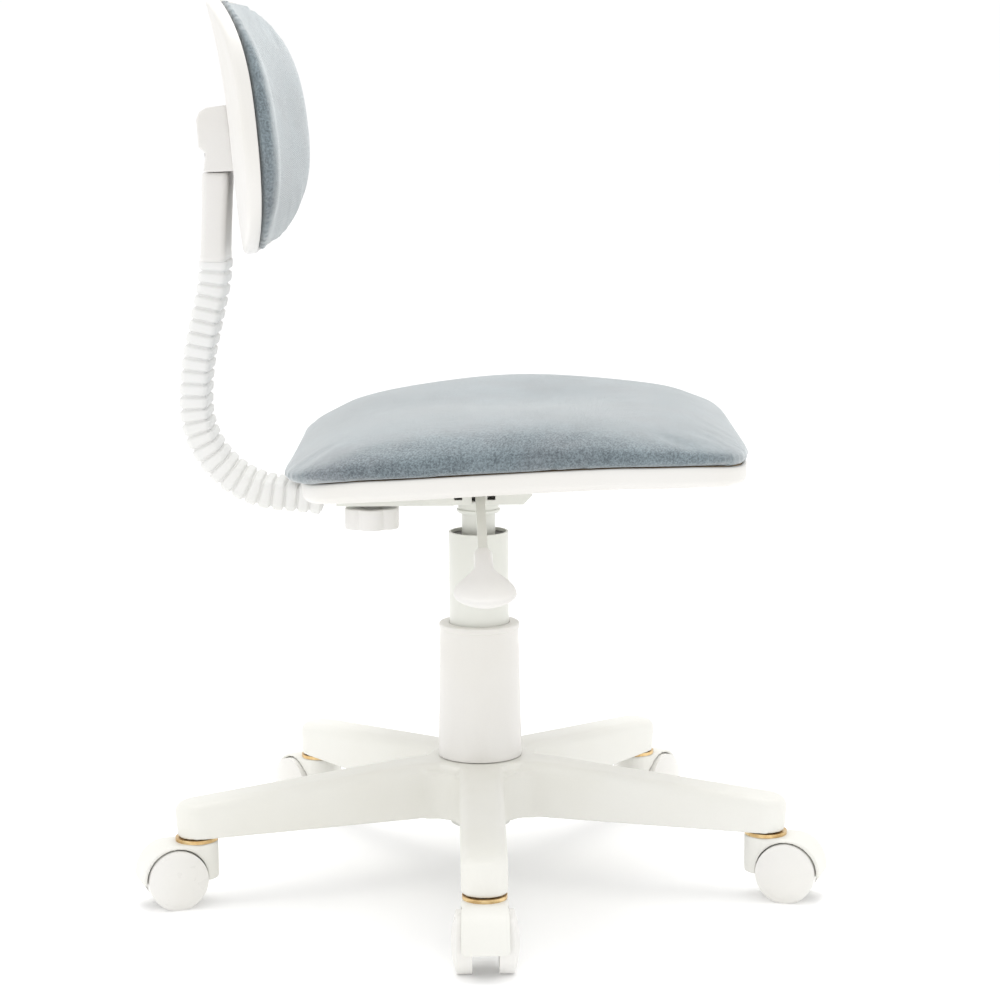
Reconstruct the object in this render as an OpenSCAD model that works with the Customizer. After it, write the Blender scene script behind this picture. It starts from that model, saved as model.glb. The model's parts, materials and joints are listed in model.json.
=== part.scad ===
// Small swivel task chair: five-star caster base, gas lift, padded seat and a
// padded backrest on a sprung J-shaped bar inside a ribbed bellows.
// Millimetres. Origin on the column axis at floor level, +X the chair's front, +Z up.

/* [Base] */
// Radius of the circle that the caster stems stand on
stem_circle = 245; // [225:1:270]
// Turn of the star about the column, from one leg pointing along -Y
star_turn = 1.1; // [-15:0.1:15]
// Width of a leg and its round end
leg_w = 36; // [34:1:42]
// Height of a leg's underside at the stem
leg_under = 55.5; // [55:0.1:60]
// Height of a leg's top at the stem
leg_top = 85; // [84:1:92]
// Slope of a leg's top, degrees
leg_slope = 5.3; // [3:0.1:7]
// Height of the hub's top face
hub_top = 102; // [98:1:108]

/* [Casters] */
// Outside diameter of a caster wheel
wheel_d = 48.5; // [46:0.5:50]
// Distance that a wheel trails behind its stem
trail = 20; // [18:0.5:24]
// Width over the two wheels of a caster
caster_w = 51.8; // [50:0.2:56]
// Width of the caster hood
hood_w = 36.8; // [34:0.2:40]

/* [Gas lift] */
// Outside diameter of the steel column tube
column_d = 50; // [50:0.5:50]
// Outside diameter of the gas tube
gas_d = 28; // [28:0.5:28]
// Height of the column tube's top
column_top = 293; // [280:1:300]
// Height of the dust cover's top
cover_top = 216; // [190:1:240]

/* [Seat] */
// Length of the seat pan
pan_len = 352; // [330:1:380]
// Width of the seat pan
pan_w = 412; // [380:1:430]
// Height of the pan's upper edge at the front
seat_h = 374; // [370:1:380]
// Depth of the pan's rim
rim_h = 17; // [15:1:20]
// Height of the cushion's crown over its lowest edge
cushion_h = 50; // [40:1:55]

/* [Backrest] */
// Width of the backrest shell
back_w = 370; // [330:1:400]
// Height of the backrest shell
back_h = 204; // [190:1:220]
// Recline of the backrest, degrees
recline = 8; // [6:0.5:10]
// Radius that the backrest is bent to in plan
back_r = 700; // [600:10:900]

/* [J-bar] */
// Width of the spring steel bar
bar_w = 38; // [34:1:40]
// Thickness of the spring steel bar
bar_t = 5; // [4:0.5:6]
// Height of the bar's middle where it enters the seat mechanism
bar_z = 322.3; // [322:0.1:323]
// Radius of the main bend
bend_r = 75; // [70:1:80]
// Distance between two ribs of the bellows
rib_pitch = 10.3; // [9.5:0.1:11]
// Outside thickness of a rib
rib_t = 23.6; // [22:0.2:26]
// Outside width of a rib
rib_w = 54; // [50:1:60]

/* [Hidden] */
CASTERS = [1, 2, 3, 4, 5];

$fn = 64;
fit = 0.05;              // radial clearance of a running fit
wheel_r = wheel_d / 2;
hood_r = 28;             // outer radius of the hood over the wheels
hood_top = 52;
hood_low = 21;
web = 9.4;               // half thickness of the hood's middle web
axle_r = 3;
stem_r = 5.5;
socket_r = 8;
socket_top = 79;
tube_r = column_d / 2;
gas_r = gas_d / 2;
rod_r = 5;
tube_low = 44;
cover_wall = 2.5;
thread_r = 4;            // M8
edge_r = 8;              // rounding of the legs' upper edges

// ---------------------------------------------------------------- placing

// Angle of caster n's leg, seen from above
function leg_angle(n) = 270 + star_turn + 72 * (n - 1);

module at_leg(n) { rotate([0, 0, leg_angle(n)]) children(); }

// A caster in its own frame: stem on the Z axis, trailing along +X
module at_caster(n) { at_leg(n) translate([stem_circle, 0, 0]) children(); }

// A shape drawn in (x, z) made into a solid of the given width across Y
module across(width) {
    translate([0, width / 2, 0]) rotate([90, 0, 0]) linear_extrude(width) children();
}

// A tube along Z from z0 to z1
module tube(r_out, r_in, z0, z1) {
    translate([0, 0, z0]) difference() {
        cylinder(h = z1 - z0, r = r_out);
        translate([0, 0, -1]) cylinder(h = z1 - z0 + 2, r = r_in);
    }
}

module rod(r, z0, z1) { translate([0, 0, z0]) cylinder(h = z1 - z0, r = r); }

// Square with rounded corners, made of true arcs
module round_box(w, h, r) {
    for (x = [r, w - r]) for (y = [r, h - r]) translate([x, y]) circle(r);
    translate([r, 0]) square([w - 2 * r, h]);
    translate([0, r]) square([w, h - 2 * r]);
}

// ---------------------------------------------------------------- base

// One leg, from the column axis to its round end, sloping down outwards
module leg(half_w, top, end_r, corner) {
    translate([stem_circle, 0, top]) rotate([0, leg_slope, 0]) {
        translate([-stem_circle, 0, 0]) rotate([90, 0, 90]) linear_extrude(stem_circle)
            translate([-half_w, -80]) round_box(2 * half_w, 80, corner);
        rotate_extrude() intersection() {
            translate([-end_r, -80]) round_box(2 * end_r, 80, corner);
            translate([0, -81]) square([end_r + 1, 82]);
        }
    }
}

module star_base() color("whitesmoke") {
    hub_r = 44;
    skin = 3.2;
    difference() {
        union() {
            for (n = CASTERS) at_leg(n) leg(leg_w / 2, leg_top, leg_w / 2, edge_r);
            rod(hub_r, leg_under, hub_top);
        }
        translate([0, 0, -100 + leg_under]) cylinder(h = 100, r = 300);
        translate([0, 0, hub_top]) cylinder(h = 60, r = 300);
        // hollow underside of each leg, left solid round the hub and the stem
        for (n = CASTERS) at_leg(n) difference() {
            leg(leg_w / 2 - skin, leg_top - skin, leg_w / 2 - skin, edge_r - skin);
            rod(tube_r + 5, 0, 200);
            translate([stem_circle, 0, 0]) rod(socket_r + 3, 0, 200);
            for (x = [70 : 35 : 210]) translate([x, -leg_w / 2, 0]) cube([2.4, leg_w, 200]);
            translate([0, -1.2, 0]) cube([stem_circle, 2.4, 200]);
        }
        for (n = CASTERS) at_caster(n) rod(socket_r, 0, socket_top);
        rod(tube_r, 0, 200);
    }
}

module stem_sockets() color("silver")
    for (n = CASTERS) at_caster(n) tube(socket_r, stem_r + fit, leg_under, socket_top);

// ---------------------------------------------------------------- casters

// The hood's outline from the side: a fender over the wheels and a stem housing
module hood_side() {
    translate([trail, wheel_r]) circle(hood_r);
    translate([-20, 30]) square([20 + trail, 30]);
    translate([-9, 30]) circle(11);
    translate([-9, 10]) square([trail, 40]);
}

module hood(n) color("whitesmoke") at_caster(n) difference() {
    union() {
        intersection() {
            across(hood_w + 4) hood_side();
            union() {
                rod(17.5, 0, 70);
                translate([0, -hood_w / 2 - 1, 0]) cube([60, hood_w + 2, 70]);
            }
            rotate([90, 0, 90]) translate([0, 0, -40]) linear_extrude(120)
                translate([-hood_w / 2, hood_low]) round_box(hood_w, hood_top - hood_low, 4);
        }
        // hub of the axle, between the wheels
        translate([trail, web + 1, wheel_r]) rotate([90, 0, 0]) cylinder(h = 2 * web + 2, r = 8);
    }
    for (s = [-1, 1]) translate([trail, s * (web + 15), wheel_r]) rotate([90, 0, 0])
        cylinder(h = 30, r = wheel_r + 1, center = true);
    translate([trail, 30, wheel_r]) rotate([90, 0, 0]) cylinder(h = 60, r = axle_r);
    rod(stem_r, 31, 60);
}

module stem(n) color("goldenrod") at_caster(n) {
    rod(stem_r, 31, socket_top - 2);
    rod(17.3, hood_top, leg_under - 0.6);
}

module axle(n) color("silver") at_caster(n)
    translate([trail, 21, wheel_r]) rotate([90, 0, 0]) cylinder(h = 42, r = axle_r);

// Half of a wheel's section: (radius, distance from the caster's middle plane)
module wheel_section() {
    inner = 10.2;
    outer = caster_w / 2;
    dome = 4;
    dome_r = (wheel_r * wheel_r + dome * dome) / (2 * dome);
    difference() {
        intersection() {
            translate([0, inner]) square([wheel_r, outer - inner]);
            translate([0, outer - dome_r]) circle(dome_r, $fn = 256);
            translate([-wheel_r, inner - 4]) round_box(2 * wheel_r, outer - inner + 4, 2);
        }
        translate([7, inner - 1]) square([13.5, 9]);
        translate([0, inner - 1]) square([axle_r + fit, 12.2]);
    }
}

module wheel(n, side) color("white") at_caster(n)
    translate([trail, 0, wheel_r]) rotate([-90 * side, 0, 0]) rotate_extrude() wheel_section();

// ---------------------------------------------------------------- gas lift

module column_tube() color("whitesmoke") {
    tube(tube_r, tube_r - 2, tube_low, column_top);
    tube(tube_r - 1, rod_r + fit, tube_low, 50);
}

module column_cover() color("whitesmoke") {
    foot_r = 35.3;
    top_r = 32.8;
    difference() {
        union() {
            translate([0, 0, hub_top]) cylinder(h = cover_top - hub_top, r1 = foot_r, r2 = top_r);
            rod(top_r + 0.9, cover_top - 5, cover_top);
        }
        translate([0, 0, hub_top - 1])
            cylinder(h = cover_top - hub_top - 2, r1 = foot_r - cover_wall, r2 = top_r - cover_wall);
        rod(tube_r + 0.3, 0, cover_top + 1);
    }
}

module guide_bush() color("dimgray") tube(tube_r - 2, gas_r + fit, 232, column_top - 2.5);

module thrust_bearing() color("silver") tube(15, rod_r + 1, 50, 56);

module piston_rod() color("silver") {
    rod(rod_r, 41, 205);
    rod(9, 56.3, 59);
}

module piston() color("dimgray") rod(gas_r - 2 - fit, 205, 216);

module bottom_clip() color("silver") tube(9, rod_r, 41.7, tube_low - 0.3);

gas_low = 68;
gas_top = 334.3;

module gas_tube() color("gainsboro") difference() {
    rod(gas_r, gas_low, gas_top);
    rod(gas_r - 2, gas_low + 12, gas_top - 20);
    rod(rod_r + fit, gas_low - 1, gas_low + 13);
    rod(thread_r + fit, gas_top - 21, gas_top + 1);
}

module taper_socket() color("gainsboro") difference() {
    union() {
        tube(17, gas_r, 308.7, gas_top);
        tube(18.2, gas_r, 310, 312);
    }
    rod(gas_r, 0, 400);
}

module valve_pin() color("dimgray") rod(thread_r, gas_top - 12, gas_top + 4.4);

// ---------------------------------------------------------------- mechanism

flange_z = 350;          // top face of the mechanism plate
box_low = 324;           // bottom of the pressed box
sheet = 2;               // sheet steel thickness
pivot = [1, -30, 338];   // lever pivot
channel_w = bar_w + 2 * sheet + 1;
channel_low = bar_z - bar_t / 2 - 2.5;
knob_x = -88.5;
bolt_x = 60;
bolt_y = 46;

module box_side(inset, top) {
    polygon([[-36 + inset, box_low + inset], [37 - inset, box_low + inset],
        [44 - inset, 331], [46 - inset, top], [-50 + inset, top], [-48 + inset, 330]]);
}

module mech_plate() color("gainsboro") difference() {
    union() {
        translate([-70, -62, flange_z - 2.5]) cube([140, 124, 2.5]);
        across(120) box_side(0, flange_z - 1);
        translate([-117, -channel_w / 2, channel_low]) cube([97, channel_w, 17]);
    }
    difference() {
        across(120 - 2 * sheet) box_side(sheet, flange_z + 1);
        translate([-117, -channel_w / 2, channel_low]) cube([97, channel_w, 17]);
        rod(17 + sheet, 0, box_low + 8);
        for (s = [-1, 1]) translate([pivot[0] + s * 8 - 1.5, pivot[1] - 6, 0]) cube([3, 12, 346]);
    }
    // the channel that the bar slides in
    translate([-118, -channel_w / 2 + sheet, channel_low + sheet])
        cube([99 - sheet, channel_w - 2 * sheet, 40]);
    translate([knob_x, 0, 0]) rod(thread_r + fit, 0, 400);
    rod(17, 0, 400);
    translate(pivot) rotate([0, 90, 0]) cylinder(h = 30, r = 2, center = true);
    // slots in the near wall: the lever's and one each side of it
    for (s = [[-19, 6.5, 328, 4], [-4.8, 10.6, 322, 17], [7.8, 6.5, 328, 4]])
        translate([s[0], -65, s[2]]) cube([s[1], 10, s[3]]);
    for (x = [-bolt_x, bolt_x]) for (y = [-bolt_y, bolt_y]) translate([x, y, 0])
        rod(thread_r + 0.2, 0, 400);
}

module lever_pin() color("silver")
    translate(pivot) rotate([0, 90, 0]) cylinder(h = 22, r = 2, center = true);

// Places a piece that lies along -Y from the pivot, falling at the given angle
module lever_line(fall) { translate(pivot) rotate([fall, 0, 1.7]) children(); }

module lever_rod() color("gainsboro") difference() {
    union() {
        lever_line(16.7) translate([-3.75, -133, -2.5]) cube([7.5, 133, 5]);
        translate([pivot[0] - 3.75, pivot[1], pivot[2] + 1.2]) cube([7.5, 36, 4.5]);
        translate(pivot) rotate([0, 90, 0]) cylinder(h = 9, r = 5, center = true);
    }
    translate(pivot) rotate([0, 90, 0]) cylinder(h = 12, r = 2 + fit, center = true);
}

// Spoon grip: round neck over the rod, widening to a flat oval end
module lever_paddle() color("white") difference() {
    lever_line(16.7) {
        hull() {
            translate([0, -124, 0]) sphere(5.4, $fn = 24);
            translate([0, -156, 0]) rotate([0, 90, 0]) cylinder(h = 12, r = 5, center = true, $fn = 24);
        }
        hull() {
            translate([0, -156, 0]) rotate([0, 90, 0]) cylinder(h = 12, r = 5, center = true, $fn = 24);
            translate([0, -186, -1.5]) scale([23.5, 17, 4]) sphere(1, $fn = 32);
        }
        translate([0, -186, -1.5]) scale([23.5, 24, 4]) sphere(1, $fn = 32);
    }
    lever_line(16.7) translate([-3.75, -133, -2.5]) cube([7.5, 140, 5]);
}

// Lobed hand knob under the channel
module clamp_knob() color("whitesmoke") translate([knob_x, 0, 0]) difference() {
    union() {
        intersection() {
            rod(24, 296.5, 314);
            union() {
                for (a = [30 : 60 : 330]) rotate([0, 0, a]) translate([12.4, 0, 0])
                    rod(11.6, 296.5, 314);
                rod(20, 296.5, 314);
            }
        }
        rod(9, 313, channel_low - 0.4);
    }
    rod(thread_r, 300, 400);
}

module clamp_bolt() color("silver") translate([knob_x, 0, 0]) rod(thread_r, 300, 336);

module clamp_nut() color("silver") {
    z0 = bar_z + bar_t / 2 + 0.3;
    translate([knob_x, 0, 0]) difference() {
        translate([-12, -15, z0]) cube([24, 30, 5]);
        rod(thread_r + fit, 0, 400);
    }
}

// ---------------------------------------------------------------- seat

pan_cx = 37;             // middle of the seat pan along X
cushion_low = 361;       // height of the cushion's widest part at its ends
board_t = 10;            // thickness of the seat board

// Superellipse outline, n sets how square it is
function outline(a, b, n, step = 5) = [for (t = [0 : step : 359])
    [a * sign(cos(t)) * pow(abs(cos(t)), 2 / n), b * sign(sin(t)) * pow(abs(sin(t)), 2 / n)]];

// Height of the pan's upper edge: falls to the rear, and a little at both ends
function seat_line(x) = seat_h - 12.6 * pow(max(0, 110 - x) / 250, 1.2)
    - 6 * pow(max(0, abs(x - pan_cx) - 120) / 56, 2);

// The part of the seat's plan between two heights above the seat line
module seat_layer(low, high, inset) {
    xs = [for (x = [-pan_len / 2 - 10 : 12 : pan_len / 2 + 12]) x + pan_cx];
    last = len(xs) - 1;
    intersection() {
        across(pan_w + 40) polygon(concat([for (x = xs) [x, seat_line(x) + low]],
            [for (i = [last : -1 : 0]) [xs[i], seat_line(xs[i]) + high]]));
        translate([pan_cx, 0, 300]) linear_extrude(150)
            polygon(outline(pan_len / 2 - inset, pan_w / 2 - inset, 6));
    }
}

module seat_pan() color("seashell") difference() {
    union() {
        difference() {
            seat_layer(-rim_h, 0, 0);
            seat_layer(-rim_h + 3, 1, 3);
        }
        // pads that carry the mechanism plate
        for (x = [-bolt_x, bolt_x]) for (y = [-bolt_y, bolt_y]) translate([x, y, 0]) difference() {
            rod(13, flange_z, 366);
            translate([-x, -y, 0]) seat_layer(-board_t, 40, 0);
        }
    }
    translate([-75, -66, 300]) cube([150, 132, flange_z - 300]);
    for (x = [-bolt_x, bolt_x]) for (y = [-bolt_y, bolt_y]) translate([x, y, 0])
        rod(thread_r + 0.2, 0, 400);
}

module seat_board() color("burlywood") difference() {
    seat_layer(-board_t, 0, 3.4);
    for (x = [-bolt_x, bolt_x]) for (y = [-bolt_y, bolt_y]) translate([x, y, 0]) rod(5.5, 0, 400);
}

// Soft crowned solid over the board and the pan's edge
module seat_cushion() color("lightslategray") {
    half_len = pan_len / 2 + 10;
    half_w = pan_w / 2 + 8;
    difference() {
        // layers of a dome, full at the sides and flat across the crown
        hull() for (t = [0 : 15 : 75])
            translate([pan_cx, 0, cushion_low + cushion_h * pow(sin(t), 1.2)]) linear_extrude(1)
                polygon(outline(half_len * cos(t), half_w * (1 - pow(sin(t), 3) / 2), 4 - t / 45, 9));
        across(600) polygon(concat([[-200, 300]],
            [for (x = [-178 : 10 : 262]) [x, seat_line(max(-140, min(214, x))) + 0.05]],
            [[300, 300]]));
    }
}

module seat_bolts() color("silver")
    for (x = [-bolt_x, bolt_x]) for (y = [-bolt_y, bolt_y]) translate([x, y, 0]) {
        rod(thread_r, flange_z - 2.5, 361);
        rod(7, flange_z - 8, flange_z - 2.5);
    }

module tee_nuts() color("silver")
    for (x = [-bolt_x, bolt_x]) for (y = [-bolt_y, bolt_y]) translate([x, y, 0])
        tube(5.5, thread_r, seat_line(x) - board_t + 0.5, seat_line(x) - 1);

// ---------------------------------------------------------------- J-bar

// The bar's middle line from its front end: straight [length] or bend [radius, turn],
// a negative turn bends it upwards
RUN_LOWER = [[91.4], [60, -6], [37.7], [bend_r, -42]];
RUN_UPPER = [[bend_r, -42], [225, -13], [40], [150, 10.3], [121]];
bar_start = [-30, bar_z];

// Where a run ends, from [x, z, heading]
function step_on(p, r) = len(r) == 1
    ? [p[0] + r[0] * cos(p[2]), p[1] + r[0] * sin(p[2]), p[2]]
    : let (s = sign(r[1]), h = p[2] + r[1],
        c = [p[0] - s * r[0] * sin(p[2]), p[1] + s * r[0] * cos(p[2])])
        [c[0] + s * r[0] * sin(h), c[1] - s * r[0] * cos(h), h];
function run_end(p, runs, i = 0) = i == len(runs) ? p : run_end(step_on(p, runs[i]), runs, i + 1);

start_pose = [bar_start[0], bar_start[1], 180];
bend_mid = run_end(start_pose, RUN_LOWER);
bar_end = run_end(bend_mid, RUN_UPPER);

// Places children, drawn along +X in the (x, z) plane, at a pose
module at_pose(p) { translate([p[0], 0, p[1]]) rotate([0, -p[2], 0]) children(); }

function sub(r, f) = len(r) == 1 ? [r[0] * f] : [r[0], r[1] * f];

// Poses along the runs, every 5 degrees or so in the bends
function poses(p, runs, i = 0) = i == len(runs) ? [p] : concat(
    len(runs[i]) == 1 ? [p] : let (k = ceil(abs(runs[i][1]) / 5))
        [for (j = [0 : k - 1]) step_on(p, sub(runs[i], j / k))],
    poses(step_on(p, runs[i]), runs, i + 1));

// The point at a distance to the left of a pose
function beside(p, d) = [p[0] - d * sin(p[2]), p[1] + d * cos(p[2])];

// A flat strip of width w and thickness t along the runs, centred on the middle line
module strip(p, runs, w, t) {
    line = poses(p, runs);
    last = len(line) - 1;
    across(w) polygon(concat([for (q = line) beside(q, t / 2)],
        [for (i = [last : -1 : 0]) beside(line[i], -t / 2)]));
}

module bar_lower() color("silver") difference() {
    strip(start_pose, RUN_LOWER, bar_w, bar_t);
    at_pose(bend_mid) translate([-0.8, -50, -50]) cube([100, 100, 100]);
    // slot that the clamp bolt passes through
    translate([knob_x - 8.3 - thread_r, -thread_r - 0.4, 300])
        cube([48.6 + 2 * thread_r, 2 * thread_r + 0.8, 50]);
}

module bar_upper() color("silver") difference() {
    strip(bend_mid, RUN_UPPER, bar_w, bar_t);
    at_pose(bend_mid) translate([-100 + 0.8, -50, -50]) cube([100, 100, 100]);
}

// A point part of the way along the runs
function cut(r, d) = len(r) == 1 ? [d] : [r[0], sign(r[1]) * d / r[0] * 180 / PI];
function run_len(r) = len(r) == 1 ? r[0] : r[0] * abs(r[1]) * PI / 180;
function along(p, runs, d, i = 0) = i == len(runs) - 1 || d <= run_len(runs[i])
    ? step_on(p, cut(runs[i], d)) : along(step_on(p, runs[i]), runs, d - run_len(runs[i]), i + 1);

// Ribbed boot round the bar from d0 to d1 along the runs
module bellows(p, runs, d0, ribs) {
    groove = 2.8;
    difference() {
        union() {
            strip(p, runs, rib_w - 2 * groove, rib_t - 2 * groove);
            for (k = [0 : ribs - 1]) at_pose(along(p, runs, d0 + (k + 0.5) * rib_pitch))
                cube([rib_pitch * 0.55, rib_w, rib_t], center = true);
        }
        strip(p, runs, bar_w + 1, bar_t + 1.2);
        at_pose(along(p, runs, d0)) translate([-300, -50, -50]) cube([300, 100, 100]);
        at_pose(along(p, runs, d0 + ribs * rib_pitch)) translate([0, -50, -50]) cube([300, 100, 100]);
    }
}

bellows_start = 98;      // from the bar's front end to the first rib
hinge_gap = 2.2;         // half the gap left at the middle of the main bend

module bellows_lower() color("white") difference() {
    bellows(start_pose, RUN_LOWER, bellows_start, 9);
    at_pose(bend_mid) translate([-hinge_gap, -50, -50]) cube([100, 100, 100]);
}

sleeve_low = 519.5;
sleeve_top = 591.5;

module bellows_upper() color("white") difference() {
    bellows(bend_mid, RUN_UPPER, hinge_gap, 17);
    at_pose(bend_mid) translate([-100 + hinge_gap, -50, -50]) cube([100, 100, 100]);
    translate([-300, -50, sleeve_low - 0.1]) cube([200, 100, 50]);
}

module bar_sleeve() color("white") difference() {
    at_pose(bar_end) translate([-160, -29, -10.6]) cube([170, 58, 21.2]);
    translate([-300, -50, 0]) cube([200, 100, sleeve_low]);
    translate([-300, -50, sleeve_top]) cube([200, 100, 200]);
    strip(bend_mid, RUN_UPPER, bar_w, bar_t);
}

// ---------------------------------------------------------------- backrest

// Frame on the shell's rear surface: +X forwards, +Z up the reclined back
back_pos = [-198.9, 0, 591.5];
back_mid = 36;           // height of the backrest's middle up that frame

module at_back() { translate(back_pos) rotate([0, -recline, 0]) children(); }

// Outline of the backrest as a solid along +X
module back_outline(inset, n = 3.2) {
    translate([-10, 0, back_mid]) rotate([90, 0, 90]) linear_extrude(120)
        polygon(outline(back_w / 2 - inset, back_h / 2 - inset, n));
}

// Bent layer between two distances from the rear surface
module back_layer(near, far, inset) {
    intersection() {
        back_outline(inset);
        translate([back_r, 0, -100]) tube(back_r - near, back_r - far, 0, 300, $fn = 360);
    }
}

module back_shell() color("white") at_back() difference() {
    back_layer(0, 11, 0);
    back_layer(3, 12, 3.5);
    back_holes();
}

screw_y = 25.4;
screw_z = [14, 42];

module back_holes() {
    for (y = [-screw_y, screw_y]) for (z = screw_z) translate([-40, y, z]) rotate([0, 90, 0])
        cylinder(h = 70, r = 2.6);
}

module back_board() color("burlywood") at_back() difference() {
    back_layer(3, 11, 4);
    back_holes();
}

module back_cushion() color("lightslategray") at_back() {
    difference() {
        hull() {
            back_bend(11.2, 20, -2);
            back_bend(20, 31, 16);
            back_bend(31, 37, 44);
        }
        translate([back_r, 0, -100]) tube(back_r + 100, back_r - 11.1, 0, 300, $fn = 360);
        // dished front, at the same bend as the shell
        translate([back_r, 0, -100]) rod(back_r - 38, 0, 300, $fn = 360);
    }
}

// A thin bent slice for the cushion's hull
module back_bend(near, far, inset) {
    intersection() {
        translate([-10, 0, back_mid]) rotate([90, 0, 90]) linear_extrude(150)
            polygon(outline(back_w / 2 - inset, back_h / 2 - inset, 3.2, 12));
        translate([back_r, 0, -100]) tube(back_r - near, back_r - far, 0, 300, $fn = 90);
    }
}

module back_bracket() color("whitesmoke") difference() {
    across(68) polygon([[-219, sleeve_top + 0.8], [-217, 607], [-222.5, 612], [-224, 634],
        [-221.5, 640], [-216, 643.5], [-190, 647], [-190, sleeve_top + 0.8]]);
    at_back() translate([back_r, 0, -100]) rod(back_r, 0, 300, $fn = 360);
    at_pose(bar_end) translate([-120, -bar_w / 2 - fit, -bar_t / 2 - fit])
        cube([122, bar_w + 2 * fit, bar_t + 2 * fit]);
    at_back() back_holes();
    at_back() for (y = [-screw_y, screw_y]) for (z = screw_z) translate([-60, y, z])
        rotate([0, 90, 0]) cylinder(h = 46, r = 5.2);
}

module back_screws() color("silver") at_back()
    for (y = [-screw_y, screw_y]) for (z = screw_z) translate([-14, y, z]) rotate([0, 90, 0]) {
        cylinder(h = 24, r = 2.6);
        translate([0, 0, -3]) cylinder(h = 3, r = 4.8);
    }

// ---------------------------------------------------------------- the parts

star_base();
stem_sockets();
for (n = CASTERS) {
    hood(n);
    stem(n);
    axle(n);
    wheel(n, 1);
    wheel(n, -1);
}
column_tube();
column_cover();
guide_bush();
thrust_bearing();
piston_rod();
piston();
bottom_clip();
gas_tube();
taper_socket();
valve_pin();
mech_plate();
lever_pin();
lever_rod();
lever_paddle();
clamp_knob();
clamp_bolt();
clamp_nut();
seat_pan();
seat_board();
seat_cushion();
seat_bolts();
tee_nuts();
bar_lower();
bellows_lower();
bar_upper();
bellows_upper();
bar_sleeve();
back_bracket();
back_shell();
back_board();
back_cushion();
back_screws();
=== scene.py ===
"""Looks of the small swivel task chair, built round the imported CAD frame."""

import json
import math

import bpy
import numpy as np
from mathutils import Matrix, Vector


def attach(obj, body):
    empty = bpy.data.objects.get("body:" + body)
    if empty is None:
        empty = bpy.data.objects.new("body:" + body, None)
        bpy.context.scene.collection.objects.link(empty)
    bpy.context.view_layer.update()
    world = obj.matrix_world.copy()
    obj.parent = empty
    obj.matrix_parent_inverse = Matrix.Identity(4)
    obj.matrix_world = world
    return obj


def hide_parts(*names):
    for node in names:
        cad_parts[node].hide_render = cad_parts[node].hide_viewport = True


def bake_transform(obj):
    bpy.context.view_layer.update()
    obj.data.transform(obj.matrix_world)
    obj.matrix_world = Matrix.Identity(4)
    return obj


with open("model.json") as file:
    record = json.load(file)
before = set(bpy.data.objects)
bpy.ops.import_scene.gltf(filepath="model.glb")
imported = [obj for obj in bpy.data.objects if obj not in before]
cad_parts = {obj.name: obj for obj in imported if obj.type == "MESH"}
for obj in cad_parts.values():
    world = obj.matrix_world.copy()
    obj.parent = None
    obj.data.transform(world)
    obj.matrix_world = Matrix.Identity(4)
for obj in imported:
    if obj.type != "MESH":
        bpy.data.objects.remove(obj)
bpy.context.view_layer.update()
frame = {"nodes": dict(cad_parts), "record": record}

scene = bpy.context.scene
NODES = frame["nodes"]
SLOT_OF = {s["node"]: s["material_slot"] for s in frame["record"]["subparts"]}
MM = 0.001


# ---------------------------------------------------------------- camera, light, floor

camera_data = bpy.data.cameras.new("camera")
camera_data.lens = 98.172
camera_data.sensor_width = 36.0
camera_data.clip_start, camera_data.clip_end = 0.05, 100.0
camera = bpy.data.objects.new("camera", camera_data)
scene.collection.objects.link(camera)
camera.matrix_world = (
    Matrix.Translation((0.0188, -2.241, 0.668))
    @ Matrix.Rotation(math.radians(0.02), 4, "Z")
    @ Matrix.Rotation(math.radians(90 - 8.86), 4, "X")
    @ Matrix.Rotation(math.radians(-0.35), 4, "Z")
)
scene.camera = camera

scene.view_settings.view_transform = "Standard"

world = bpy.data.worlds.new("studio")
scene.world = world
world.use_nodes = True
sky = world.node_tree.nodes["Background"]
sky.inputs["Color"].default_value = (1.0, 1.0, 1.0, 1.0)
sky.inputs["Strength"].default_value = 1.02


def softbox(name, place, target, size, watts):
    """A large square area light that points at a target."""
    data = bpy.data.lights.new(name, "AREA")
    data.shape = "SQUARE"
    data.size = size
    data.energy = watts
    light = bpy.data.objects.new(name, data)
    light.location = place
    aim = Vector(target) - Vector(place)
    light.rotation_euler = aim.to_track_quat("-Z", "Y").to_euler()
    scene.collection.objects.link(light)


softbox("top_light", (0.1, 0.4, 2.6), (0.0, 0.0, 0.3), 1.6, 32)
softbox("left_light", (-2.2, -1.0, 1.7), (0.0, 0.0, 0.3), 1.2, 4)


# ---------------------------------------------------------------- material helpers

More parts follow.
